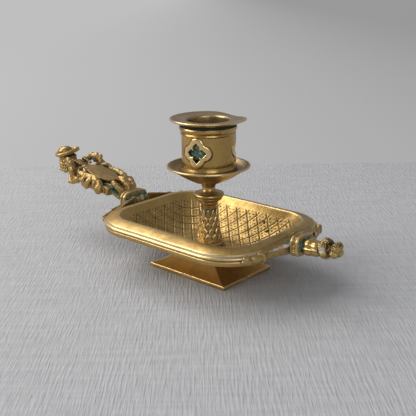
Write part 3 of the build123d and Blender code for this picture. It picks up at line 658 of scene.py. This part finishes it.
def yoke(half_y):
    """The bracket at the +X end, for a collar of some half width."""
    bm = bmesh.new()
    start_x = collar_low.x
    end_y = half_y - 2.6
    for flank in (-1, 1):
        rim_y, collar_y = flank * 23.0, flank * (end_y - 1.5)
        rim_end = [(46.8, rim_y, 25.4), (50.4, rim_y, 23.4), (50.7, rim_y, 26.4), (46.8, rim_y, 27.6)]
        collar_end = [(start_x - 4.6, collar_y, 24.0), (start_x + 0.6, collar_y, 23.0), (start_x + 0.9, collar_y, 27.9),
                      (start_x - 4.9, collar_y, 30.3)]
        near, far = (rim_end, collar_end) if flank < 0 else (collar_end, rim_end)
        block(bm, [near[0], near[1], far[1], far[0], near[3], near[2], far[2], far[3]])
        for lift, size in ((26.9, 0.75), (23.7, 0.7)):
            tendril(bm, [rim_side(16, flank, 0, lift), (start_x - 1.9, flank * (end_y + 4.5), lift + 0.4),
                         (start_x + 0.8, flank * (end_y - 1), lift + 0.9 - (0.9 if lift < 25 else 0))], [size] * 3)
        tendril(bm, [(46.6, flank * 21.5, 27.5), (start_x - 6.5, flank * 13, 29.0), (start_x - 4.6, collar_y, 30.2)],
                [0.5, 0.6, 0.7])
        for bearing, outward, lift, size, turned, detail in (
                (31, 0.3, 24.9, (1.7, 2.3, 2.3), 31, 3), (33.5, 0.9, 25.9, (1.0, 1.1, 1.1), 0, 2),
                (35, 0.7, 24.2, (0.9, 1.1, 1.2), 0, 2), (27.5, 1.0, 24.2, (0.9, 1.3, 1.6), 0, 2),
                (20, 0.1, 24.7, (1.5, 4.4, 2.2), 20, 3)):
            egg(bm, rim_side(bearing, flank, outward, lift), size, turn=flank * radians(turned), detail=detail)
        tendril(bm, [rim_side(11, flank, 0.2, 22.4), rim_side(10, flank, 1.2, 24.0), rim_side(10.5, flank, 1.0, 26.0),
                     rim_side(13.5, flank, 0.6, 26.9)], [0.6, 0.75, 0.75, 0.55])
        egg(bm, (start_x - 1.2, flank * (half_y - 5.6), axis_z - 0.8), (2.5, 2.2, 3.4))
    block(bm, [(start_x + along, across * end_y, height) for inner, outer in ((23.0, 23.0), (24.6, 25.4))
               for along, across, height in ((-5, -1, inner), (0.4, -1, outer), (0.4, 1, outer), (-5, 1, inner))])
    return cast(bm, 0.26, 2)


def between(value, low, high):
    return max(0.0, min(1.0, (value - low) / (high - low)))


for name, side, half_y in (("handle", -1, 9.0), ("finial", 1, 7.0)):
    bm = yoke(half_y)
    bmesh.ops.rotate(bm, verts=bm.verts, cent=(0, 0, 0), matrix=Matrix.Rotation(0 if side > 0 else pi, 3, "Z"))
    inset = half_y - 1.0
    paint(bm, "salts", lambda p: 0.76 * between(abs(p.x), 50.5, 53.5) * between(inset + 2 - abs(p.y), 0, 2)
          + 0.45 * between(abs(p.y), 18.5, 19.5) * between(20.5 - abs(p.y), 0, 0.6) * between(abs(p.x), 51.6, 52.2))
    # The low web between the straps is painted darker towards its bottom: painted shade in that recess.
    paint(bm, "dirt_and_shade", lambda p: 0.5 * between(26.5 - p.z, 0, 1.5) * between(inset - 1 - abs(p.y), 0, 1.5))
    paint(bm, "chalk", lambda p: 0.7 * between(0.9 - abs(p.z - 27.9 + 0.06 * abs(p.y)), 0, 0.4)
          * between(abs(p.x), 51.8, 52.4) * between(abs(p.y), inset - 2, inset) * between(19.5 - abs(p.y), 0, 2)
          + 0.6 * between(abs(p.y), 18.5, 19.5) * between(20.5 - abs(p.y), 0, 0.6) * between(abs(p.x), 51.6, 52.2))
    make_piece(f"{name}_yoke", bm, cast_brass, "cast_brass", f"{name}_bracket", sharp=60)


# -------- collars
# An arched collar stands between each yoke and the casting beyond it: two raised bands with a sunk,
# upright-tooled band between them. It is clamped there by the stud that runs through all three.
def collar(name, side):
    low, high = box_mm(name)
    half_y, half_z, middle = high.y, (high.z - low.z) / 2, (high.z + low.z) / 2
    start, length = low.x if side > 0 else high.x, high.x - low.x
    bm = bmesh.new()
    bmesh.ops.create_circle(bm, segments=112, radius=1.0)

    def outline(vert, share, along, tooled, rub):
        """The arch, with fine upright tool marks: its shoulders are rounder than its lower corners."""
        vert[worn] = rub
        angle = atan2(vert[arch].y, vert[arch].x)
        c, s = cos(angle), sin(angle)
        power = 3.2 if s > 0 else 4.5
        reach = 1 / (abs(c) ** power + abs(s) ** power) ** (1 / power)
        mark = tooled * 0.16 * sin(angle * 40)
        return Vector((start + side * along * length, (half_y * share + mark) * reach * c,
                       middle + (half_z * share + mark) * reach * s))

    bm.verts.layers.float_vector.new("arch")
    worn, = point_values(bm, "worn")
    arch = bm.verts.layers.float_vector["arch"]
    for vert in bm.verts:
        vert[arch] = vert.co
        vert.co = outline(vert, 0.5, 0, 0, 0)
    loop = list(bm.edges)
    for ring in ((0.90, 0.0, 0, 0.3), (0.97, 0.04, 0, 0.4), (1.0, 0.12, 0, 0.3), (0.995, 0.3, 0, 0),
                 (0.96, 0.35, 0, 0), (0.93, 0.38, 1, 0), (0.93, 0.62, 1, 0), (0.96, 0.65, 0, 0), (0.985, 0.7, 0, 0.1),
                 (0.985, 0.88, 0, 0.3), (0.95, 0.96, 0, 0.4), (0.88, 1.0, 0, 0.3), (0.5, 1.0, 0, 0)):
        loop = grow_loop(bm, loop, lambda vert: outline(vert, *ring))
    bmesh.ops.holes_fill(bm, edges=rim_edges(bm), sides=0)
    bm.verts.layers.float_vector.remove(bm.verts.layers.float_vector["arch"])
    paint(bm, "salts", lambda p: 0.66 * between(abs(abs(p.x) - (abs(start) + length / 2)), length * 0.42, length * 0.5))
    make_piece(f"{name}_moulding", bm, cast_brass, "cast_brass", name, sharp=50)


collar("handle_collar", -1)
collar("finial_collar", 1)


# -------- long handle
# The handle is one openwork casting, curving up from its collar: an acanthus root, two side rails with balls,
# curled leaves and C-scrolls, round a plain cartouche. It is screwed on by the stud in its root.
handle_brass = brass("handle_brass", (0.60, 0.405, 0.150), (0.31, 0.195, 0.072),
                     age=0.12, polish=0.30, green=0.50, reach=5.5)
root_x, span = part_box("handle_collar")[0].x / MM, 51.0
first_slope, last_slope = radians(22), radians(4)
bend = span / (sin(first_slope) - sin(last_slope))


def lean_at(along):
    return asin(sin(first_slope) - along / bend)


def on_handle(along, across, up):
    """A place on the handle: along its curve from the collar, across it, and up from its middle."""
    lean = lean_at(along)
    return Vector((root_x - along + up * sin(lean), across,
                   axis_z + bend * (cos(lean) - cos(first_slope)) + up * cos(lean)))


def knob(along, across, up, size, detail=3):
    size = size if isinstance(size, tuple) else (size, size, size)
    egg(bm, on_handle(along, across, up), size, lean_at(along), detail=detail)


def stalk(flank, points, sizes):
    """A stalk of the casting, on the flank of that sign."""
    tendril(bm, [on_handle(along, flank * across, up) for along, across, up in points], sizes)


def saw_square(bm, x, side):
    """Cuts a casting off square across the stick, keeps what is on the near side and closes the cut."""
    bmesh.ops.bisect_plane(bm, geom=[*bm.verts, *bm.edges, *bm.faces], dist=0.0001, plane_co=(x, 0, 0),
                           plane_no=(side, 0, 0), clear_outer=True)
    bmesh.ops.holes_fill(bm, edges=rim_edges(bm), sides=0)


bm = bmesh.new()
for along, half_y, half_z in (
        (0.8, 5.2, 3.8), (2.5, 5.0, 3.8), (5, 4.4, 3.4), (8, 4.0, 2.8), (11, 4.2, 2.4), (14, 5.0, 2.1), (17, 6.0, 2.0),
        (21, 7.0, 2.0), (25, 7.4, 2.0), (29, 7.0, 2.0), (33, 5.2, 2.0), (37, 4.6, 2.2), (40, 4.8, 2.6), (43, 5.2, 3.0),
        (46, 5.4, 3.4), (48.6, 5.2, 3.6)):
    knob(along, 0, 0, (2.6 if along > 0.9 else 0.8, half_y, half_z))
for along in (15, 19, 23, 27, 31):
    knob(along, 0, -1.5, (3.2, 9.6, 0.9))
stalk(1, ((1.5, 0, 2.4), (5, 0, 5.4), (8.6, 0, 6.6), (11.4, 0, 5.6), (12.2, 0, 3.4)), (2.1, 2.5, 2.2, 1.6, 1.0))
stalk(1, ((1.5, 0, -2.0), (5, 0, -3.6), (8.5, 0, -3.2)), (1.8, 1.8, 1.2))
for flank in (-1, 1):
    for points, sizes in (
            (((1.2, 2.6, 1.4), (4.5, 4.8, 3.4), (7.6, 5.8, 4.6), (9.8, 5.6, 4.0), (10.6, 5.2, 2.4)),
             (2.0, 2.1, 1.9, 1.4, 1.0)),
            (((2.0, 4.2, -0.8), (5.5, 5.8, -0.4), (8.6, 7.0, 0.4), (9.6, 7.6, -0.8)), (1.8, 1.7, 1.5, 1.0)),
            (((9.0, 3.4, 2.6), (11.6, 3.2, 3.6), (13.4, 3.4, 2.6)), (1.2, 1.1, 0.8)),
            (((9.0, 3.0, -0.6), (12.0, 6.4, -0.6), (14.4, 10.0, -0.3)), (1.8, 1.9, 1.8))):
        stalk(flank, points, sizes)
    knob(14.4, flank * 11.6, -0.2, 3.05)
    block(bm, [on_handle(10.4 + 1.9 * a, flank * 8.6 + 1.9 * b, 0.4 + 2.3 * c)
               for c in (-1, 1) for a, b in ((1, -1), (-1, -1), (-1, 1), (1, 1))])
    stalk(flank, ((14.4, 10.2, 1.0), (18.2, 9.6, 2.6), (23, 9.5, 2.4), (28, 9.6, 1.6), (33, 9.6, 1.0)),
          (1.7, 2.0, 2.1, 2.0, 1.8))
    stalk(flank, ((15.5, 10.6, -1.6), (19.5, 10.0, -2.2), (25, 10.2, -2.4), (30, 10.0, -2.0), (34, 9.4, -2.6)),
          (1.5, 1.6, 1.7, 1.6, 1.8))
    knob(19.2, flank * 11.2, 0.2, (1.9, 1.4, 2.6), 2)
    for points, sizes in (
            (((22.6, 10.6, 2.6), (23.2, 12.0, 0.6), (24.0, 12.0, -2.2), (25.4, 11.2, -4.0)), (1.6, 1.9, 2.1, 1.6)),
            (((27.6, 10.6, 2.2), (27.8, 11.8, 0.0), (27.2, 11.8, -2.4), (26.0, 11.0, -3.8)), (1.4, 1.7, 1.9, 1.5)),
            (((29.5, 9.4, 3.4), (31.6, 8.2, 3.8), (33.6, 7.0, 3.0)), (1.2, 1.3, 1.1)),
            (((47.4, 5.2, 2.6), (45.2, 8.6, 4.8), (41.6, 10.2, 4.8), (39.6, 10.7, 1.6), (38.6, 10.8, -1.8),
              (36.4, 10.8, -4.2)), (1.9, 2.1, 2.2, 2.3, 2.2, 1.9))):
        stalk(flank, points, sizes)
    for along, across, up, size, detail in (
            (45.8, 9.0, 5.8, (1.6, 1.6, 1.7), 2), (43.0, 10.8, 6.2, (1.6, 1.5, 1.5), 2),
            (40.4, 11.3, 5.6, (1.5, 1.5, 1.6), 2), (38.6, 11.9, 2.2, (1.5, 1.3, 1.6), 2),
            (42.4, 8.8, 3.2, (1.7, 1.3, 1.5), 2), (34.6, 10.8, -3.0, (2.4, 1.8, 2.4), 3),
            (34.6, 12.0, -3.0, (1.0, 0.8, 1.0), 2), (41.4, 10.6, -6.2, 1.6, 2)):
        knob(along, flank * across, up, size, detail)
    stalk(flank, ((37.2, 10.7, -5.0), (39.6, 10.6, -6.4), (42.6, 9.6, -4.8), (45.6, 6.0, -1.6)), (1.4, 1.2, 1.4, 1.8))
    stalk(flank, ((35.0, 9.4, 0.4), (37.4, 7.4, 1.6), (37.2, 4.8, 2.2)), (1.5, 1.4, 1.2))
    for bead in range(4):
        knob(41.0 + bead * 2.1, flank * 3.8, 3.2 + 0.3 * bead, 1.05, 2)
bm = cast(bm, 0.30, 2)
saw_square(bm, root_x + 0.3, 1)
bm.normal_update()
for vert in bm.verts:
    groove = noise.noise(vert.co * 0.55 + Vector((3, 1, 7))) + 0.4 * noise.noise(vert.co * 1.5)
    vert.co += vert.normal * 0.26 * groove
paint(bm, "salts", lambda p: 0.62 * between(abs(p.y), 4.5, 6.5) * between(9.2 - abs(p.y), 0, 1.5))
# The sunk floor between the spine and the side rails is painted darker.
paint(bm, "dirt_and_shade", lambda p: 0.42 * between(abs(p.y), 3.5, 6.5) * between(9.4 - abs(p.y), 0, 1.5))
make_piece("handle_casting", bm, handle_brass, "cast_brass", "handle", sharp=80)


# -------- cartouche plate
# A plain shield lies on the middle of the handle for an owner's mark that was never cut. It is cast with small
# ears beside its outer point, filed flat, and its edge is rounded over.
shield = ((14.4, 0.0), (15.2, 3.4), (17.6, 5.4), (21.0, 6.7), (25.0, 7.2), (29.0, 6.9), (31.4, 6.5), (33.4, 7.4),
          (34.1, 5.6), (35.4, 3.6), (38.0, 0.0))
bm = bmesh.new()
outline = [*shield, *((along, -across) for along, across in shield[-2:0:-1])]
bmesh.ops.contextual_create(bm, geom=[bm.verts.new((along, across, 0)) for along, across in outline])
side_face = bmesh.ops.extrude_face_region(bm, geom=bm.faces[:])
bmesh.ops.translate(bm, vec=(0, 0, 1.35), verts=[v for v in side_face["geom"] if isinstance(v, bmesh.types.BMVert)])
bmesh.ops.triangulate(bm, faces=bm.faces)
bm = cast(bm, 0.24, 2)
bm.normal_update()
for vert in bm.verts:
    hammer = 0.10 * noise.noise(Vector((vert.co.x, vert.co.y, 0)) * 0.35)
    crown = 0.3 * (1 - (vert.co.y / 8) ** 2)
    vert.co = on_handle(vert.co.x, vert.co.y, 1.75 + vert.co.z + (hammer + crown if vert.co.z > 0.6 else 0))
make_piece("cartouche", bm, handle_brass, "cast_brass", "handle_plate", sharp=80)


# -------- head
# A small bearded head in a broad slanted hat closes the handle and looks out along it. It is cast with the
# handle's outer end; the features are plain and regular, softened by years of polishing.
tip = on_handle(span, 0, 0)
skull = Vector((tip.x - 6.6, 0, tip.z + 0.4))
bm = bmesh.new()


def feature(along, across, up, size, detail=2):
    """A lump placed from the middle of the skull: outward, sideways and up."""
    egg(bm, skull + Vector((-along, across, up)), size, detail=detail)


def ridge(points, sizes):
    """A raised line of the face or hair, through points placed from the middle of the skull."""
    tendril(bm, [skull + Vector(point) for point in points], sizes)


feature(0, 0, 0.2, (5.0, 4.6, 6.0), detail=3)
feature(1.9, 0, -1.2, (3.5, 3.5, 5.0), detail=3)
feature(2.3, 0, -4.4, (2.5, 2.6, 2.2), detail=3)
feature(2.4, 0, -6.2, (1.8, 1.9, 1.4))
ridge(((-5.0, 0, 0.9), (-5.6, 0, -0.4), (-6.0, 0, -1.3)), (0.55, 0.6, 0.8))
for flank in (-1, 1):
    feature(4.35, flank * 1.65, 0.35, (0.75, 0.85, 0.6))
    feature(3.9, flank * 2.1, -1.6, (1.2, 1.2, 1.4))
    feature(5.2, flank * 0.65, -1.35, (0.5, 0.5, 0.45))
    feature(0.2, flank * 4.7, -0.6, (1.0, 0.8, 1.7))
    ridge(((-5.0, flank * 0.4, 1.25), (-4.7, flank * 1.7, 1.65), (-3.7, flank * 3.0, 1.2)), (0.5, 0.6, 0.5))
    ridge(((-5.2, 0, -2.75), (-4.8, flank * 0.9, -2.8), (-4.2, flank * 1.5, -2.7)), (0.42, 0.42, 0.3))
    ridge(((-5.0, 0, -3.5), (-4.5, flank * 0.9, -3.45)), (0.45, 0.35))
    for row in range(5):
        for curl in range(6):
            swing = radians(70 + curl * 21 + (row % 2) * 9)
            place = skull + Vector((-4.7 * cos(swing), flank * 4.6 * sin(swing), 3.6 - row * 1.9))
            egg(bm, place, (1.15, 1.15, 1.05), detail=2)
    for curl in range(3):
        feature(2.6 - curl * 0.9, flank * (2.2 + curl * 0.7), -5.0 + curl * 1.2, (1.1, 1.0, 1.2))
for along, half_y, half_z in ((-4.4, 4.6, 3.0), (-6.2, 4.6, 2.9)):
    feature(along, 0, -0.4, (2.2, half_y, half_z), detail=3)
hat = Matrix.Translation(skull + Vector((0.4, 0, 6.0))) @ Matrix.Rotation(radians(8), 4, "X") @ Matrix.Rotation(
    radians(-7), 4, "Y")


def hat_lump(place, size, detail=3):
    bmesh.ops.create_icosphere(bm, subdivisions=detail, radius=1.0,
                               matrix=hat @ Matrix.Translation(place) @ Matrix.Diagonal((*size, 1)))


hat_lump((0, 0, 0), (6.2, 8.3, 1.1), 4)
for bearing in range(0, 360, 8):
    swing = radians(bearing)
    hat_lump((5.3 * cos(swing), 7.4 * sin(swing), 0.7 + 0.25 * cos(2 * swing)), (0.95, 0.95, 1.05), 2)
hat_lump((-1.8, -0.5, 1.5), (4.0, 4.6, 2.5))
hat_lump((-1.8, -0.5, 2.3), (3.2, 3.8, 1.6))
hat_lump((-4.8, -0.6, 2.4), (1.5, 1.4, 1.3), 2)
hat_lump((-5.6, -0.6, 3.3), (0.8, 0.8, 0.9), 2)
bm = cast(bm, 0.24, 1)
saw_square(bm, tip.x + 0.4, 1)
bm.normal_update()
for vert in bm.verts:
    near = vert.co - skull
    hair = between(near.x, -2.4, -0.6) * between(5.2 - near.z, 0, 1)
    vert.co += vert.normal * hair * 0.28 * noise.noise(vert.co * 1.4)
paint(bm, "salts", lambda p: 0.55 * between(p.x - skull.x, -3.2, -1.0) * between(-3.4 - (p.z - skull.z), 0, 1.2))
make_piece("handle_mask", bm, handle_brass, "cast_brass", "handle_head", sharp=80)


# -------- finial
# The short end carries a closed bud, ridged along both flanks, and a cluster of berries in two rings. Both are
# castings drilled for the stud; the berries have a pebbled skin where salts have settled.
finial_brass = brass("finial_brass", (0.66, 0.45, 0.170), (0.36, 0.23, 0.085),
                     age=0.03, polish=0.26, green=0.28, reach=3.5)
bud_low, bud_high = box_mm("finial_bud")
bm = bmesh.new()
start, centre_z = bud_low.x, (bud_low.z + bud_high.z) / 2
low_z = centre_z - 0.4
for flank in (-1, 1):
    for side_z in (-1, 1):
        egg(bm, (start + 2.9, flank * 1.2, low_z + side_z * 1.45), (3.1, 3.1, 2.5), detail=3)
        egg(bm, (start + 6.4, flank * 0.9, low_z + side_z * 1.2), (3.6, 2.9, 2.3), detail=3)
    tendril(bm, [(start + 0.4, flank * 3.7, low_z + 0.1), (start + 3.5, flank * 4.3, low_z + 0.1),
                 (start + 8.6, flank * 3.6, low_z + 0.3)], [0.55, 0.55, 0.5])
egg(bm, (start + 0.6, 0, low_z), (0.9, 3.8, 3.3), detail=3)
bm = cast(bm, 0.22, 1)
saw_square(bm, start - 0.1, -1)
paint(bm, "worn", lambda p: 0.8 * between(0.6 - abs(p.z - low_z - 0.1), 0, 0.3) * between(abs(p.y), 3, 4))
paint(bm, "salts", lambda p: 0.62 * between(start + 1.2 - p.x, 0, 0.8))
make_piece("bud_casting", bm, finial_brass, "cast_brass", "finial_bud", sharp=80)

berry_low, berry_high = box_mm("finial_berries")
bm = bmesh.new()
egg(bm, (berry_low.x + 2.5, 0, centre_z + 0.6), (4.5, 2.6, 2.6))
for ring_x, ring_r, count, lift in ((berry_low.x + 2.1, 3.1, 6, 0.9), (berry_high.x - 2.3, 2.0, 4, 1.3)):
    for index in range(count):
        swing = tau * (index + 0.5) / count
        out = ring_x + 0.4 * sin(index * 2.3)
        egg(bm, (out, ring_r * cos(swing), centre_z + lift + ring_r * sin(swing)), (2.3, 2.25, 2.2), detail=3)
bm = cast(bm, 0.20, 1)
bm.normal_update()
dirt_and_shade, = point_values(bm, "dirt_and_shade")
for vert in bm.verts:
    near, following = noise.voronoi(vert.co * 0.95)[0][:2]
    seed = between(following - near, 0, 0.5)
    vert.co += vert.normal * (0.26 * seed - 0.14)
    vert[dirt_and_shade] = 0.62 * (1 - seed) + 0.25 * between(vert.co.z, centre_z + 2.6, centre_z + 4)
    vert.co.x = min(vert.co.x, berry_high.x)
paint(bm, "chalk", lambda p: 1.0 - 0.28 * (p - Vector((berry_low.x + 2.2, -4.2, centre_z + 1.2))).length)
make_piece("berry_cluster", bm, finial_brass, "cast_brass", "finial_berries", sharp=80)


# -------- floor, light and camera
# The stick stands on a pale grey textured sheet; beyond a faint line it glows as a painted wall, lighter at
# the left and darker at the right. Two broad soft window lights from the left, a weak fill and a lens of about
# twice normal length.
look_turn, look_down, look_roll = 42.35, 17.4, -0.727
bpy.ops.mesh.primitive_plane_add(size=30.0)
sheet = bpy.context.object
sheet.name = "pale_floor"
cloth = Finish("pale_paper")
where = cloth.node("ShaderNodeTexCoord", output="Object")


def weave(width, depth):
    """The sheet's own axes, across and away from the viewer, with its threads drawn out along either."""
    return cloth.node("ShaderNodeMapping", {"vector_type": "TEXTURE"}, {
        "Vector": where, "Rotation": (0, 0, radians(look_turn)), "Scale": (width, depth, 1.0)})


streak = cloth.cloud(weave(1, 12), 1.0, 4, 0.15)
weft = cloth.cloud(weave(9, 1), 3.4, 4)
away = cloth.node("ShaderNodeSeparateXYZ", sockets={0: weave(1, 1)}, output="Y")
beyond = cloth.rise(away, 0.224, 0.228)
tone = cloth.mix(streak * 0.55 + weft * 0.45, (0.30, 0.30, 0.31, 1), (0.64, 0.64, 0.65, 1))
# Beyond the line the sheet turns nearly black and glows instead: a painted light, lighter at the left and darker at the
# right.
tone = cloth.mix(beyond, tone, (0.02, 0.02, 0.02, 1))
dent = cloth.node("ShaderNodeBump", sockets={"Strength": 1.0, "Distance": 0.0007, "Height": streak + weft * 0.3})
across = cloth.node("ShaderNodeSeparateXYZ", sockets={0: weave(1, 1)}, output="X")
glow = cloth.mix(cloth.rise(across, -0.5, 0.7), (0.50, 0.495, 0.50, 1), (0.29, 0.285, 0.285, 1))
glow = cloth.mix(beyond, (0, 0, 0, 1), cloth.mix(streak * 0.12, glow, (0.30, 0.30, 0.30, 1)))
cover = cloth.node("ShaderNodeBsdfPrincipled", sockets={"Base Color": tone, "Roughness": 0.8, "Normal": dent,
                                                        "Emission Color": glow, "Emission Strength": 1.0})
cloth.node("ShaderNodeOutputMaterial", sockets={"Surface": cover})
sheet.data.materials.append(cloth.material)

room = bpy.data.worlds.new("soft_room")
bpy.context.scene.world = room
room.use_nodes = True
room.node_tree.nodes["Background"].inputs["Color"].default_value = (0.80, 0.82, 0.86, 1)
room.node_tree.nodes["Background"].inputs["Strength"].default_value = 0.38


def soft_light(name, place, size, power, tint):
    """A square lamp that looks at the candle cup."""
    lamp = bpy.data.lights.new(name, "AREA")
    lamp.shape, lamp.size, lamp.energy, lamp.color = "SQUARE", size, power, tint
    holder = bpy.data.objects.new(name, lamp)
    holder.location = place
    holder.rotation_euler = (Vector((0, 0, 0.04)) - Vector(place)).to_track_quat("-Z", "Y").to_euler()
    bpy.context.scene.collection.objects.link(holder)


turn = Matrix.Rotation(radians(look_turn), 3, "Z")
soft_light("window", turn @ Vector((-1.0, -0.10, 0.74)), 0.85, 9.3, (1.0, 0.98, 0.95))
soft_light("upper_window", turn @ Vector((-0.55, 0.62, 0.98)), 0.7, 6.0, (1.0, 0.98, 0.96))
soft_light("fill", turn @ Vector((0.3, -1.2, 0.7)), 0.9, 4.0, (0.95, 0.97, 1.0))

lens = bpy.data.cameras.new("viewer")
lens.lens, lens.sensor_width = 62.185, 36.0
lens.clip_start, lens.clip_end = 0.01, 20.0
viewer = bpy.data.objects.new("viewer", lens)
bpy.context.scene.collection.objects.link(viewer)
viewer.rotation_euler = (turn @ Matrix.Rotation(radians(90 - look_down), 3, "X")
                         @ Matrix.Rotation(radians(look_roll), 3, "Z")).to_euler()
viewer.location = (0.23919, -0.26324, 0.14453)
bpy.context.scene.camera = viewer
bpy.context.scene.view_settings.view_transform = "Standard"
